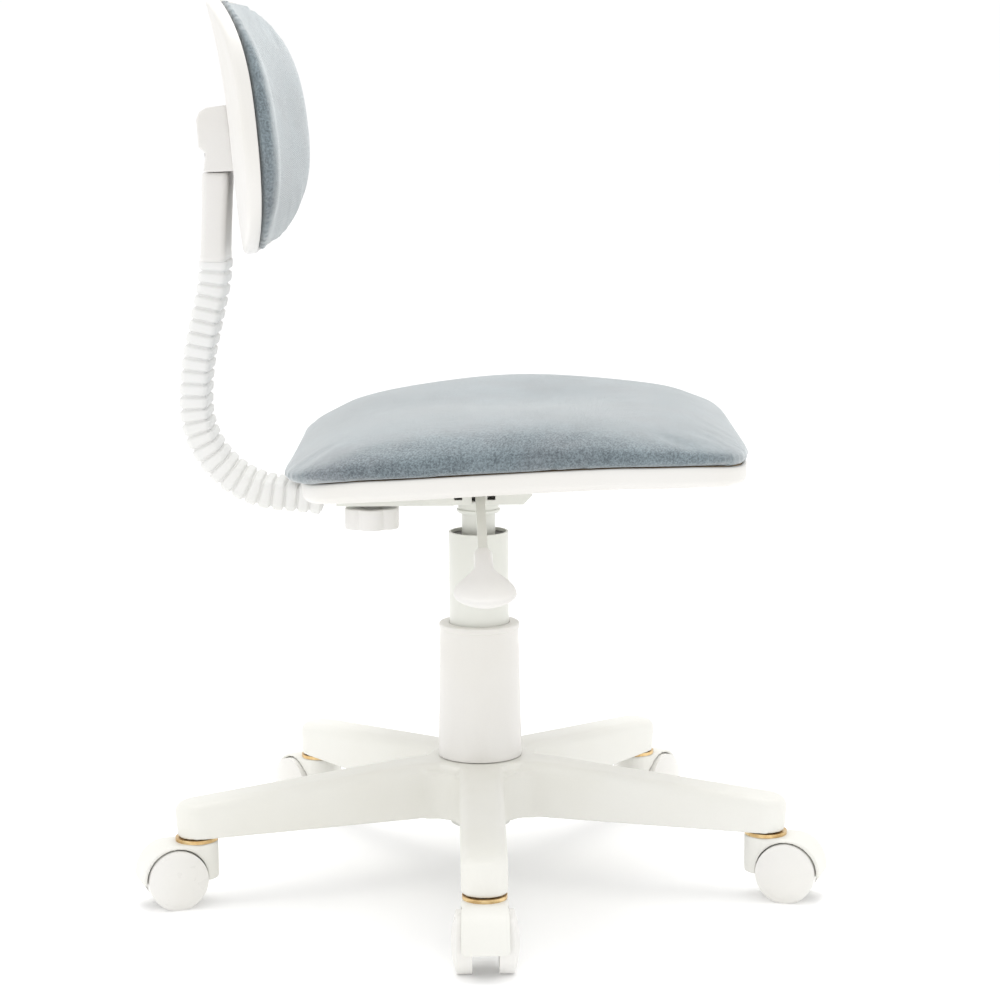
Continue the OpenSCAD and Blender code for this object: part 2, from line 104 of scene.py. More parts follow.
class Nodes:
    """Short calls for the nodes of one material."""

    def __init__(self, name):
        self.material = bpy.data.materials.new(name)
        self.material.use_nodes = True
        self.tree = self.material.node_tree
        self.tree.nodes.clear()
        out = self.tree.nodes.new("ShaderNodeOutputMaterial")
        self.shader = self.tree.nodes.new("ShaderNodeBsdfPrincipled")
        self.link(self.shader.outputs["BSDF"], out.inputs["Surface"])
        self.place = self.tree.nodes.new("ShaderNodeTexCoord").outputs["Object"]

    def link(self, a, b):
        self.tree.links.new(a, b)

    def set(self, **values):
        """Sets constants on the shader's own sockets."""
        for key, value in values.items():
            socket = self.shader.inputs[key.replace("_", " ")]
            socket.default_value = (*value, 1.0) if isinstance(value, tuple) else value

    def stretched(self, scale, turn=(0, 0, 0)):
        """The object's own coordinates, scaled and turned."""
        node = self.tree.nodes.new("ShaderNodeMapping")
        self.link(self.place, node.inputs["Vector"])
        node.inputs["Scale"].default_value = scale
        node.inputs["Rotation"].default_value = [math.radians(t) for t in turn]
        return node.outputs["Vector"]

    def noise(self, scale, detail=2.0, rough=0.5, where=None):
        node = self.tree.nodes.new("ShaderNodeTexNoise")
        self.link(where or self.place, node.inputs["Vector"])
        node.inputs["Scale"].default_value = scale
        node.inputs["Detail"].default_value = detail
        node.inputs["Roughness"].default_value = rough
        return node.outputs["Fac"]

    def waves(self, scale, distortion=0.0, where=None, axis="X"):
        node = self.tree.nodes.new("ShaderNodeTexWave")
        node.bands_direction = axis
        self.link(where or self.place, node.inputs["Vector"])
        node.inputs["Scale"].default_value = scale
        node.inputs["Distortion"].default_value = distortion
        node.inputs["Detail"].default_value = 2.0
        return node.outputs["Fac"]

    def remap(self, value, low, high, to_low=0.0, to_high=1.0):
        node = self.tree.nodes.new("ShaderNodeMapRange")
        self.link(value, node.inputs["Value"])
        for key, number in zip(("From Min", "From Max", "To Min", "To Max"),
                               (low, high, to_low, to_high)):
            node.inputs[key].default_value = number
        return node.outputs["Result"]

    def math(self, how, a, b):
        node = self.tree.nodes.new("ShaderNodeMath")
        node.operation = how
        for value, socket in ((a, node.inputs[0]), (b, node.inputs[1])):
            if isinstance(value, (int, float)):
                socket.default_value = value
            else:
                self.link(value, socket)
        return node.outputs[0]

    def mix(self, factor, a, b):
        node = self.tree.nodes.new("ShaderNodeMix")
        node.data_type = "RGBA"
        if isinstance(factor, (int, float)):
            node.inputs["Factor"].default_value = factor
        else:
            self.link(factor, node.inputs["Factor"])
        # inputs 6 and 7 and output 2 are the node's colour sockets
        for value, socket in ((a, node.inputs[6]), (b, node.inputs[7])):
            if isinstance(value, tuple):
                socket.default_value = (*value, 1.0)
            else:
                self.link(value, socket)
        return node.outputs[2]

    def bump(self, height, strength, distance, before=None):
        node = self.tree.nodes.new("ShaderNodeBump")
        node.inputs["Strength"].default_value = strength
        node.inputs["Distance"].default_value = distance
        self.link(height, node.inputs["Height"])
        if before is not None:
            self.link(before, node.inputs["Normal"])
        return node.outputs["Normal"]


def moulded(name, colour, rough, grain, relief):
    """Moulded plastic: slight colour drift, a fine spark-eroded grain and faint flow waves."""
    n = Nodes(name)
    drift = n.remap(n.noise(7.0, 3.0), 0.35, 0.65)
    speck = n.remap(n.noise(520.0, 2.0, 0.6), 0.3, 0.7, 0.0, 1.0)
    darker = tuple(c * t for c, t in zip(colour, (0.96, 0.955, 0.93)))
    base = n.mix(drift, darker, colour)
    base = n.mix(n.math("MULTIPLY", speck, 0.10), base, tuple(c * 0.88 for c in colour))
    n.link(base, n.shader.inputs["Base Color"])
    n.link(n.remap(n.noise(60.0, 4.0), 0.3, 0.7, rough - 0.06, rough + 0.07),
           n.shader.inputs["Roughness"])
    soft = n.bump(n.noise(9.0, 1.0), 0.25, 0.0006)
    n.link(n.bump(n.noise(grain, 3.0, 0.65), relief, 0.00012, soft), n.shader.inputs["Normal"])
    n.set(Specular_IOR_Level=0.5, IOR=1.49)
    return n.material


def velour():
    """Short-pile velour: brushed patches, speckled pile, faint diagonal ribs and a strong sheen."""
    n = Nodes("velour")
    brushed = n.noise(11.0, 3.0, 0.55, n.stretched((1.0, 0.8, 1.5), (0, 20, 35)))
    patches = n.noise(48.0, 4.0, 0.6)
    pile = n.noise(640.0, 3.0, 0.8)
    tips = n.noise(1200.0, 2.0, 0.7)
    ribs = n.waves(330.0, 2.2, n.stretched((1.0, 1.0, 1.0), (0, 32, 0)))
    shade = n.math("ADD", n.math("MULTIPLY", n.remap(brushed, 0.33, 0.67), 0.22),
                   n.math("MULTIPLY", n.remap(patches, 0.3, 0.7), 0.16))
    shade = n.math("ADD", shade, n.math("MULTIPLY", n.remap(pile, 0.40, 0.60), 0.50))
    shade = n.math("ADD", shade, n.math("MULTIPLY", ribs, 0.12))
    base = n.mix(shade, (0.008, 0.022, 0.034), (0.265, 0.330, 0.360))
    warm = n.remap(n.noise(20.0, 3.0), 0.45, 0.7, 0.0, 0.4)
    base = n.mix(warm, base, n.mix(shade, (0.030, 0.032, 0.042), (0.285, 0.287, 0.307)))
    n.link(base, n.shader.inputs["Base Color"])
    height = n.math("ADD", n.math("MULTIPLY", tips, 0.5), pile)
    height = n.math("ADD", height, n.math("MULTIPLY", ribs, 0.25))
    n.link(n.bump(height, 0.7, 0.0006), n.shader.inputs["Normal"])
    n.set(Roughness=0.5, Specular_IOR_Level=0.6, Sheen_Weight=1.0, Sheen_Roughness=0.46,
          Sheen_Tint=(0.97, 1.0, 1.0))
    return n.material


def enamel():
    """Satin powder coat over steel, with its orange peel."""
    n = Nodes("white_enamel")
    drift = n.remap(n.noise(5.0, 3.0), 0.35, 0.65)
    n.link(n.mix(drift, (0.70, 0.705, 0.655), (0.745, 0.75, 0.70)), n.shader.inputs["Base Color"])
    n.link(n.remap(n.noise(90.0, 3.0), 0.3, 0.7, 0.30, 0.42), n.shader.inputs["Roughness"])
    n.link(n.bump(n.noise(420.0, 2.0), 0.22, 0.0001), n.shader.inputs["Normal"])
    n.set(Coat_Weight=0.25, Coat_Roughness=0.25)
    return n.material


def plated(name, dark, light, rough, drift_scale):
    """Zinc-plated steel, with the cloudy colour of its passivation and fine drawing marks."""
    n = Nodes(name)
    cloud = n.remap(n.noise(drift_scale, 4.0, 0.6), 0.3, 0.7)
    n.link(n.mix(cloud, dark, light), n.shader.inputs["Base Color"])
    marks = n.noise(160.0, 3.0, 0.6, n.stretched((1.0, 1.0, 12.0)))
    n.link(n.remap(marks, 0.3, 0.7, rough - 0.08, rough + 0.12), n.shader.inputs["Roughness"])
    n.link(n.bump(marks, 0.2, 0.00008), n.shader.inputs["Normal"])
    n.set(Metallic=1.0)
    return n.material


def plywood():
    """Rotary-cut ply: long grain on the faces and thin layers through the thickness."""
    n = Nodes("plywood")
    grain = n.noise(28.0, 5.0, 0.65, n.stretched((0.25, 3.0, 3.0)))
    layers = n.waves(95.0, 0.6, axis="Z")
    base = n.mix(n.remap(grain, 0.3, 0.7), (0.40, 0.27, 0.15), (0.66, 0.50, 0.32))
    base = n.mix(n.math("MULTIPLY", layers, 0.25), base, (0.30, 0.19, 0.10))
    n.link(base, n.shader.inputs["Base Color"])
    n.link(n.remap(grain, 0.3, 0.7, 0.55, 0.75), n.shader.inputs["Roughness"])
    n.link(n.bump(grain, 0.4, 0.0003), n.shader.inputs["Normal"])
    return n.material


MATERIALS = {
    "white_nylon": moulded("white_nylon", (0.80, 0.795, 0.755), 0.46, 900.0, 0.35),
    "white_plastic": moulded("white_plastic", (0.775, 0.762, 0.742), 0.40, 1100.0, 0.28),
    "white_rubber": moulded("white_rubber", (0.80, 0.80, 0.79), 0.52, 700.0, 0.25),
    "wheel_white": moulded("wheel_white", (0.80, 0.79, 0.765), 0.32, 600.0, 0.15),
    "black_plastic": moulded("black_plastic", (0.030, 0.026, 0.024), 0.50, 800.0, 0.3),
    "white_enamel": enamel(),
    "steel": plated("steel", (0.42, 0.42, 0.41), (0.62, 0.62, 0.60), 0.34, 40.0),
    "brass_steel": plated("brass_steel", (0.50, 0.29, 0.10), (0.80, 0.62, 0.34), 0.30, 90.0),
    "plywood": plywood(),
    "velour": velour(),
}


# ---------------------------------------------------------------- mesh helpers

def add_object(name, mesh, slot):
    """A new object with smooth faces and its slot's material."""
    mesh.polygons.foreach_set("use_smooth", [True] * len(mesh.polygons))
    mesh.materials.clear()
    mesh.materials.append(MATERIALS[slot])
    thing = bpy.data.objects.new(name, mesh)
    scene.collection.objects.link(thing)
    return thing


def shape(name, points, faces, slot):
    """An object from points in millimetres."""
    mesh = bpy.data.meshes.new(name)
    mesh.from_pydata((np.asarray(points, float) * MM).tolist(), [], faces)
    mesh.validate()
    return add_object(name, mesh, slot)


def skin(rings, loop=False):
    """Points and faces of a skin over rings of equal length, capped by a point at each end
    unless the last ring runs on into the first."""
    rings = [np.asarray(r, float) for r in rings]
    k, n = len(rings), len(rings[0])
    points = [p for r in rings for p in r]
    faces = []
    for i in range(k if loop else k - 1):
        a, b = i * n, (i + 1) % k * n
        for j in range(n):
            m = (j + 1) % n
            faces.append((a + j, a + m, b + m, b + j))
    if not loop:
        for start, flip in ((0, True), ((k - 1) * n, False)):
            middle = len(points)
            points.append(np.mean(rings[0] if flip else rings[-1], axis=0))
            for j in range(n):
                m = (j + 1) % n
                faces.append((start + m, start + j, middle) if flip
                             else (start + j, start + m, middle))
    return points, faces


def lathe(name, profile, slot, steps=96, centre=(0.0, 0.0)):
    """A closed (radius, height) outline turned about the vertical through centre."""
    angles = [math.tau * j / steps for j in range(steps)]
    rings = [[(centre[0] + r * math.cos(a), centre[1] + r * math.sin(a), z) for a in angles]
             for r, z in profile]
    return shape(name, *skin(rings, loop=True), slot)


def rounded(corners, steps=5):
    """A closed outline whose corners, given as (x, y, radius), are rounded."""
    out = []
    count = len(corners)
    for i, (x, y, radius) in enumerate(corners):
        here = np.array((x, y))
        back = np.array(corners[i - 1][:2]) - here
        ahead = np.array(corners[(i + 1) % count][:2]) - here
        back, ahead = back / np.linalg.norm(back), ahead / np.linalg.norm(ahead)
        half = math.acos(max(-1.0, min(1.0, float(back @ ahead)))) / 2
        if radius <= 0 or half > math.radians(89.5):
            out.append(tuple(here))
            continue
        reach = radius / math.tan(half)
        start, end = here + back * reach, here + ahead * reach
        centre = here + (back + ahead) / np.linalg.norm(back + ahead) * radius / math.sin(half)
        a0 = math.atan2(*(start - centre)[::-1])
        turn = (math.atan2(*(end - centre)[::-1]) - a0 + math.pi) % math.tau - math.pi
        out += [(centre[0] + radius * math.cos(a0 + turn * s / steps),
                 centre[1] + radius * math.sin(a0 + turn * s / steps)) for s in range(steps + 1)]
    return out


def settled(thing):
    """Applies an object's modifiers to its own mesh."""
    graph = bpy.context.evaluated_depsgraph_get()
    mesh = bpy.data.meshes.new_from_object(thing.evaluated_get(graph))
    thing.modifiers.clear()
    thing.data = mesh
    return thing


def softened(thing, width):
    """Small rounded edges by a bevel, with clean shading of the flat faces."""
    thing.modifiers.new("weld", "WELD").merge_threshold = 1e-5
    bevel = thing.modifiers.new("bevel", "BEVEL")
    bevel.width = width * MM
    bevel.segments = 2
    bevel.limit_method = "ANGLE"
    bevel.angle_limit = math.radians(32.0)
    bevel.use_clamp_overlap = True
    thing.modifiers.new("normals", "WEIGHTED_NORMAL").keep_sharp = True
    return thing


def moulding(name, nodes, voxel, smoothing, slot, added=()):
    """A moulded piece from CAD nodes: one closed skin with every edge and corner softened.
    added are further closed skins, as (points, faces), that melt into it."""
    points, faces = [], []
    for more_points, more_faces in added:
        first = len(points)
        points += [tuple(p) for p in more_points]
        faces += [tuple(first + i for i in f) for f in more_faces]
    for node in nodes:
        mesh = NODES[node].data
        first = len(points)
        points += [tuple(v.co / MM) for v in mesh.vertices]
        faces += [tuple(first + i for i in p.vertices) for p in mesh.polygons]
    thing = shape(name, points, faces, slot)
    remesh = thing.modifiers.new("remesh", "REMESH")
    remesh.mode = "VOXEL"
    remesh.voxel_size = voxel * MM
    remesh.use_smooth_shade = True
    smooth = thing.modifiers.new("smooth", "SMOOTH")
    smooth.factor = 0.5
    smooth.iterations = smoothing
    settled(thing)
    thing.data.polygons.foreach_set("use_smooth", [True] * len(thing.data.polygons))
    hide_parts(*nodes)
    return thing


def ridden(thing, body, *nodes):
    """Rides a piece on its body and hides the CAD nodes that it stands for."""
    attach(thing, body)
    if nodes:
        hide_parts(*nodes)
    return thing


# ---------------------------------------------------------------- padded pieces

def swollen(thing, pinned, pressure, cap, voxel, frames=20):
    """Blows a padded piece up as cloth, holding the pinned points, and caps how far each moves."""
    remesh = thing.modifiers.new("remesh", "REMESH")
    remesh.mode = "VOXEL"
    remesh.voxel_size = voxel * MM
    settled(thing)
    count = len(thing.data.vertices)
    before = np.zeros(count * 3, np.float32)
    thing.data.vertices.foreach_get("co", before)
    before = before.reshape(-1, 3)
    group = thing.vertex_groups.new(name="pin")
    for index in np.nonzero(pinned(before / MM))[0]:
        group.add([int(index)], 1.0, "REPLACE")
    cloth = thing.modifiers.new("cloth", "CLOTH")
    cloth.settings.use_pressure = True
    cloth.settings.uniform_pressure_force = pressure
    cloth.settings.effector_weights.gravity = 0.0
    cloth.settings.vertex_group_mass = "pin"
    cloth.settings.quality = 6
    cloth.settings.tension_stiffness = 18.0
    cloth.settings.compression_stiffness = 12.0
    cloth.settings.bending_stiffness = 0.8
    cloth.collision_settings.use_collision = False
    cloth.collision_settings.use_self_collision = False
    cloth.point_cache.frame_start = 1
    cloth.point_cache.frame_end = frames
    for step in range(1, frames + 1):
        scene.frame_set(step)
    settled(thing)
    scene.frame_set(1)
    after = np.zeros(count * 3, np.float32)
    thing.data.vertices.foreach_get("co", after)
    move = after.reshape(-1, 3) - before
    far = np.linalg.norm(move, axis=1, keepdims=True)
    move *= np.minimum(1.0, cap * MM / np.maximum(far, 1e-9))
    thing.data.vertices.foreach_set("co", (before + move).ravel())
    thing.vertex_groups.clear()
    smooth = thing.modifiers.new("smooth", "SMOOTH")
    smooth.factor = 0.5
    smooth.iterations = 8
    finer = thing.modifiers.new("finer", "SUBSURF")
    finer.levels = finer.render_levels = 1
    settled(thing)
    thing.data.polygons.foreach_set("use_smooth", [True] * len(thing.data.polygons))
    return thing


def reshape(thing, move):
    """Moves a piece's points by a function from and to an array of millimetre points."""
    count = len(thing.data.vertices)
    points = np.zeros(count * 3, np.float32)
    thing.data.vertices.foreach_get("co", points)
    moved = move(points.reshape(-1, 3).astype(float) / MM)
    thing.data.vertices.foreach_set("co", (moved * MM).astype(np.float32).ravel())
    thing.data.update()


PLAN_STEPS = 128


def superellipse(half_a, half_b, n):
    """Points of a superellipse, evenly spread along its length."""
    t = np.linspace(0, math.tau, 2000, endpoint=False)
    x = half_a * np.sign(np.cos(t)) * np.abs(np.cos(t)) ** (2 / n)
    y = half_b * np.sign(np.sin(t)) * np.abs(np.sin(t)) ** (2 / n)
    pieces = np.hypot(np.diff(x, append=x[0]), np.diff(y, append=y[0]))
    run = np.concatenate([[0], np.cumsum(pieces)])
    at = np.linspace(0, run[-1], PLAN_STEPS, endpoint=False)
    x, y = np.append(x, x[0]), np.append(y, y[0])
    return np.stack([np.interp(at, run, x), np.interp(at, run, y)], 1)


PAN_X, PAN_LEN, PAN_W, RIM = 37.0, 352.0, 412.0, 17.0
SEAT_X, SEAT_HALF_LEN, SEAT_HALF_W = 31.2, 183.2, 211.0


def seat_line(x):
    """Height of the pan's upper edge."""
    x = np.asarray(x, float)
    fall = 12.6 * (np.maximum(0, 110 - x) / 250) ** 1.2
    return 374 - fall - 6 * np.minimum((np.maximum(0, np.abs(x - PAN_X) - 120) / 56) ** 2, 1.3)


def seat_skin(shrink):
    """The seat cushion's form: tucked edge, full sides, dished crown, sloping front and rear."""
    half_a, half_b = SEAT_HALF_LEN - shrink, SEAT_HALF_W - shrink
    edge = superellipse(half_a, half_b, 6.0)
    round_edge = superellipse(half_a, half_b, 2.3)
    side = np.sin(np.arctan2(edge[:, 1] / half_b, edge[:, 0] / half_a)) ** 2
    side = side ** 1.7  # 1 along the two sides, 0 at front and rear
    on_pan = edge * (175.0 / half_a, 205.8 / half_b)

    def widest(x):
        return seat_line(x) + 10.0

    def crown(x, y):
        middle = np.clip(1 - ((x - 20) / 150) ** 2, 0, 1)
        return 409.5 - shrink - 9.0 * middle * np.exp(-(y / 78.0) ** 2)

    rings = []
    for scale in (0.02, 0.25, 0.5, 0.75, 0.93):
        x = PAN_X + on_pan[:, 0] * scale
        rings.append(np.stack([x, on_pan[:, 1] * scale, seat_line(x) + 0.3], 1))
    for fold in np.linspace(0, 1, 7):
        angle = fold * math.pi / 2
        out = math.sin(angle) ** 0.8
        x = (PAN_X + on_pan[:, 0]) * (1 - out) + (SEAT_X + edge[:, 0]) * out
        low = seat_line(x) + 0.3
        rings.append(np.stack([x, on_pan[:, 1] * (1 - out) + edge[:, 1] * out,
                               low + (widest(x) - low) * (1 - math.cos(angle))], 1))
    for t in np.linspace(0, 1, 34)[1:]:
        scale = max(math.cos(t * math.pi / 2) ** 0.8, 0.015)
        rounder = min(1.0, 2.0 * (1 - scale))
        plan = (edge * (1 - rounder) + round_edge * rounder) * scale
        x = SEAT_X + 42.0 * (1 - scale) + plan[:, 0]
        y = plan[:, 1]
        end_u = 1 - scale ** 3.6
        end = 0.94 * end_u ** 1.58 + 0.06 * end_u ** 0.5
        flank = (1 - scale ** 8.0) ** 0.6
        full = end * (1 - side) + flank * side
        z = widest(x) + (crown(x, y) - widest(x)) * full
        rings.append(np.stack([x, y, z], 1))
    return skin(rings)


def creases(points, marks, near_side):
    """Presses pull creases into the cushion's side, each (x, z, length, lean, depth, width)."""
    side = np.clip((points[:, 1] * near_side - 175) / 15, 0, 1)
    for x0, z0, length, lean, depth, width in marks:
        along = (points[:, 2] - z0) * math.cos(lean) + (points[:, 0] - x0) * math.sin(lean)
        across = (points[:, 0] - x0) * math.cos(lean) - (points[:, 2] - z0) * math.sin(lean)
        fade = np.exp(-(along / length) ** 2) * side
        push = depth * fade * (np.exp(-(across / width) ** 2)
                               - 0.45 * np.exp(-((across - 2.2 * width) / (1.5 * width)) ** 2))
        points[:, 1] -= near_side * push
    return points


seat = shape("seat_cushion_soft", *seat_skin(0.5), "velour")
swollen(seat, lambda p: p[:, 2] < seat_line(p[:, 0]) + 3.0, 2.5, 1.2, 4.0)


def seat_details(p):
    """Creases, fuller ends over the pan's rim, and the crown settled to its height."""
    p = creases(p, [(60.5, 378, 9, 0.30, 2.2, 2.0), (82, 376, 6, 0.45, 1.6, 1.8),
                    (76, 396, 14, 1.35, 0.9, 3.0), (-70, 376, 7, -0.25, 1.0, 2.2)], -1)
    p = creases(p, [(18, 377, 8, -0.30, 1.8, 2.0), (112, 376, 7, 0.40, 1.4, 2.0),
                    (-60, 376, 8, 0.25, 1.2, 2.2)], 1)
    low = seat_line(p[:, 0]) + 0.2
    end = np.clip((np.abs(p[:, 0] - SEAT_X) - 130) / 45, 0, 1)
    full = np.exp(-((p[:, 2] - low - 13.0) / 13.0) ** 2)
    p[:, 0] += np.where(p[:, 0] < SEAT_X, -3.4, 2.2) * end * full
    p[:, 2] -= 1.7 * np.clip((p[:, 2] - 384) / 26, 0, 1)
    p[:, 2] = np.maximum(p[:, 2], low)
    return p


reshape(seat, seat_details)
ridden(seat, "seat", "seat_cushion")


# ---------------------------------------------------------------- backrest

BACK_AT = Vector((-197.9, 0.0, 591.6))
BACK_TURN = Matrix.Rotation(math.radians(-7.1), 3, "Y")
BACK_R, BACK_MID, BACK_HW, BACK_HH = 700.0, 36.0, 185.0, 102.0
BACK_AXES = np.array(BACK_TURN)
# how far the shell bows forward, against height above the backrest's own origin
BOW = np.polyfit((-66, -20, 10, 40, 62, 80, 94, 110, 126, 138),
                 (2.3, 2.5, 3.4, 4.8, 5.4, 5.0, 4.4, 3.4, 1.8, 0.2), 4)


def on_back(points):
    """From the backrest's own frame, with distances from its bent rear surface, to the chair's."""
    p = np.array(points, float)
    p[:, 0] += BACK_R - np.sqrt(BACK_R ** 2 - p[:, 1] ** 2) + np.polyval(BOW, p[:, 2])
    return p @ BACK_AXES.T + np.array(BACK_AT)


def back_rings(outline, rows):
    """Rings over the backrest from (inset, distance) rows."""
    rings = []
    for inset, depth in rows:
        scale = ((BACK_HW - inset) / BACK_HW, (BACK_HH - inset) / BACK_HH)
        edge = outline * scale
        rings.append(on_back(np.stack([np.full(len(edge), depth), edge[:, 0],
                                       edge[:, 1] + BACK_MID], 1)))
    return rings


back_edge = superellipse(BACK_HW, BACK_HH, 3.2)


def arc_rows(inset0, depth0, radius, start, end, steps=5):
    """Rows along a rounded edge; angles in degrees from the rear, turning outwards."""
    rows = []
    for s in range(steps + 1):
        a = math.radians(start + (end - start) * s / steps)
        rows.append((inset0 - radius * math.sin(a), depth0 - radius * math.cos(a)))
    return rows


shell_rows = [(inset, 0.0) for inset in (98.0, 88.0, 77.0, 66.0, 55.0, 44.0, 33.0, 23.0, 14.0)]
shell_rows += arc_rows(4.0, 4.0, 4.0, 0, 90)
shell_rows += [(0.0, 7.0)]
shell_rows += arc_rows(1.2, 9.8, 1.2, 90, 180, 3)
shell_rows += [(2.6, 11.0), (3.4, 10.4), (3.6, 3.4), (14.0, 3.0), (33.0, 3.0), (55.0, 3.0),
               (77.0, 3.0), (98.0, 3.0)]
shell = shape("back_shell_moulded", *skin(back_rings(back_edge, shell_rows)), "white_plastic")
ridden(shell, "backrest", "back_shell")

board_rows = [(98.0, 3.3), (60.0, 3.3), (16.0, 3.3), (15.4, 3.8), (15.4, 10.7), (16.0, 11.2),
              (60.0, 11.2), (98.0, 11.2)]
board = shape("back_board_ply", *skin(back_rings(back_edge, board_rows)), "plywood")
ridden(board, "backrest", "back_board")


def back_skin(shrink):
    """The back cushion's form: bent like the shell, thinner towards top and bottom."""
    edge = superellipse(BACK_HW + 1.8 - shrink, BACK_HH + 1.0 - shrink, 3.0)
    half_w, half_h = BACK_HW + 1.8 - shrink, BACK_HH + 1.0 - shrink
    rings = []

    def add(points, depth):
        rings.append(on_back(np.stack([depth, points[:, 0], points[:, 1] + BACK_MID], 1)))

    for s in (0.02, 0.3, 0.6, 0.85):
        add(edge * s, np.full(len(edge), 11.6))
    base = edge * ((half_w - 5.0) / half_w, (half_h - 5.0) / half_h)
    for fold in np.linspace(0, 1, 5):
        a = fold * math.pi / 2
        add(base + (edge - base) * math.sin(a), np.full(len(edge), 11.6 + 5.5 * (1 - math.cos(a))))
    for t in np.linspace(0, 1, 34)[1:]:
        scale = max(math.cos(t * math.pi / 2) ** 0.8, 0.02)
        pts = edge * scale
        high = pts[:, 1] + BACK_MID
        thick = 33.5 - ((high - 14.0) / np.where(high > 14, 34.0, 25.0)) ** 2 - shrink
        thick -= 3.0 * np.exp(-(pts[:, 0] / 80.0) ** 2)
        add(pts, 17.1 + (thick - 17.1) * (1 - scale ** 8) ** 0.6)
    return skin(rings)


def back_local(points):
    """From the chair's frame to the backrest's own, with distances from its bent rear surface."""
    p = (points - np.array(BACK_AT)) @ BACK_AXES
    p[:, 0] -= BACK_R - np.sqrt(BACK_R ** 2 - p[:, 1] ** 2) + np.polyval(BOW, p[:, 2])
    return p


pad = shape("back_cushion_soft", *back_skin(0.5), "velour")
swollen(pad, lambda p: back_local(p)[:, 0] < 14.0, 2.5, 1.0, 4.0)


def clear_of_shell(p):
    """Keeps the cushion's rear in front of the plywood board."""
    q = back_local(p)
    q[:, 0] = np.maximum(q[:, 0], 11.3)
    return on_back(q)


reshape(pad, clear_of_shell)
ridden(pad, "backrest", "back_cushion")


# ---------------------------------------------------------------- seat pan

def pan_rings():
    """Outer and inner skin of the pan: flat bottom, rounded lower edge, upright rim."""
    edge = superellipse(PAN_LEN / 2, PAN_W / 2, 6.0)
    half = np.array((PAN_LEN / 2, PAN_W / 2))
    rows = [(160.0, 0.0), (110.0, 0.0), (60.0, 0.0), (30.0, 0.0)]
    corner = 7.0
    for s in range(7):
        a = math.radians(90 * s / 6)
        rows.append((corner - corner * math.sin(a), corner - corner * math.cos(a)))
    rows += [(-0.2, RIM - 4.0), (-0.2, RIM - 1.4), (0.2, RIM - 0.5), (1.0, RIM - 0.1),
             (2.2, RIM - 0.1), (2.9, RIM - 0.8), (3.0, 6.0), (6.0, 3.0), (30.0, 3.0),
             (110.0, 3.0), (160.0, 3.0)]
    rings = []
    for inset, up in rows:
        out = edge * (half - inset) / half
        x = PAN_X + out[:, 0]
        rings.append(np.stack([x, out[:, 1], seat_line(x) - RIM + up], 1))
    return rings


pan = shape("seat_pan_moulded", *skin(pan_rings()), "white_plastic")
ridden(pan, "seat", "seat_pan")


def boss(name, x, y, low, high, radius):
    """A round mounting pad with rounded edges."""
    profile = rounded([(0.01, low, 0), (radius, low, 0.8), (radius, high, 0.3), (0.01, high, 0)])
    return lathe(name, profile, "white_plastic", 40, (x, y))


for i, x in enumerate((-60.0, 60.0)):
    for j, y in enumerate((-46.0, 46.0)):
        floor_height = float(seat_line(x)) - RIM
        pad_under = boss(f"pan_boss_{i}{j}", x, y, 350.1, floor_height + 1.5, 13.0)
        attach(pad_under, "seat")


# ---------------------------------------------------------------- J-bar boot and sleeve

LOWER = [(91.4,), (60.0, -6.0), (37.7,), (75.0, -42.0)]
UPPER = [(75.0, -42.0), (225.0, -13.0), (40.0,), (150.0, 10.3), (121.0,)]


def step_on(pose, run, share=1.0):
    """Moves a pose (x, z, heading) along a straight (length,) or a bend (radius, turn)."""
    x, z, h = pose
    if len(run) == 1:
        a = math.radians(h)
        return x + run[0] * share * math.cos(a), z + run[0] * share * math.sin(a), h
    s = math.copysign(1, run[1])
    a, b = math.radians(h), math.radians(h + run[1] * share)
    cx, cz = x - s * run[0] * math.sin(a), z + s * run[0] * math.cos(a)
    return cx + s * run[0] * math.sin(b), cz - s * run[0] * math.cos(b), h + run[1] * share


def run_length(run):
    return run[0] if len(run) == 1 else run[0] * math.radians(abs(run[1]))


def along(pose, runs, distance):
    """The pose at a distance along the runs."""
    for run in runs[:-1]:
        if distance <= run_length(run):
            return step_on(pose, run, distance / run_length(run))
        distance -= run_length(run)
        pose = step_on(pose, run)
    return step_on(pose, runs[-1], distance / run_length(runs[-1]))


BAR_START = (-30.0, 322.3, 180.0)
LOWER_LEN = sum(map(run_length, LOWER))
bend_mid = along(BAR_START, LOWER, LOWER_LEN)
bar_end = along(BAR_START, LOWER + UPPER, LOWER_LEN + sum(map(run_length, UPPER)))


def section(pose, width, thick, corner):
    """A rounded rectangle across the path at a pose."""
    w, t = width / 2, thick / 2
    outline = rounded([(-w, -t, corner), (w, -t, corner), (w, t, corner), (-w, t, corner)], 6)
    x, z, h = pose
    a = math.radians(h)
    return [(x - v * math.sin(a), u, z + v * math.cos(a)) for u, v in outline]


def boot():
    """Ribbed boot: a round-shouldered rib and a narrow groove in turn."""
    ribs = 26
    start, end = 98.0, LOWER_LEN + 177.3
    pitch = (end - start) / ribs
    profile = [(0.00, 0.0), (0.07, 0.15), (0.13, 0.62), (0.19, 0.92), (0.28, 1.0), (0.50, 1.0),
               (0.72, 1.0), (0.81, 0.92), (0.87, 0.62), (0.93, 0.15)]
    rings = []
    for k in range(ribs):
        for u, full in profile:
            pose = along(BAR_START, LOWER + UPPER, start + (k + u) * pitch)
            rings.append(section(pose, 48.4 + 5.6 * full, 18.0 + 5.6 * full, 3.2 + 2.0 * full))
    last = along(BAR_START, LOWER + UPPER, end)
    rings.append(section(last, 48.4, 18.0, 3.2))
    return skin(rings)


bellows = shape("bellows", *boot(), "white_rubber")
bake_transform(bellows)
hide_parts("bellows_lower", "bellows_upper")


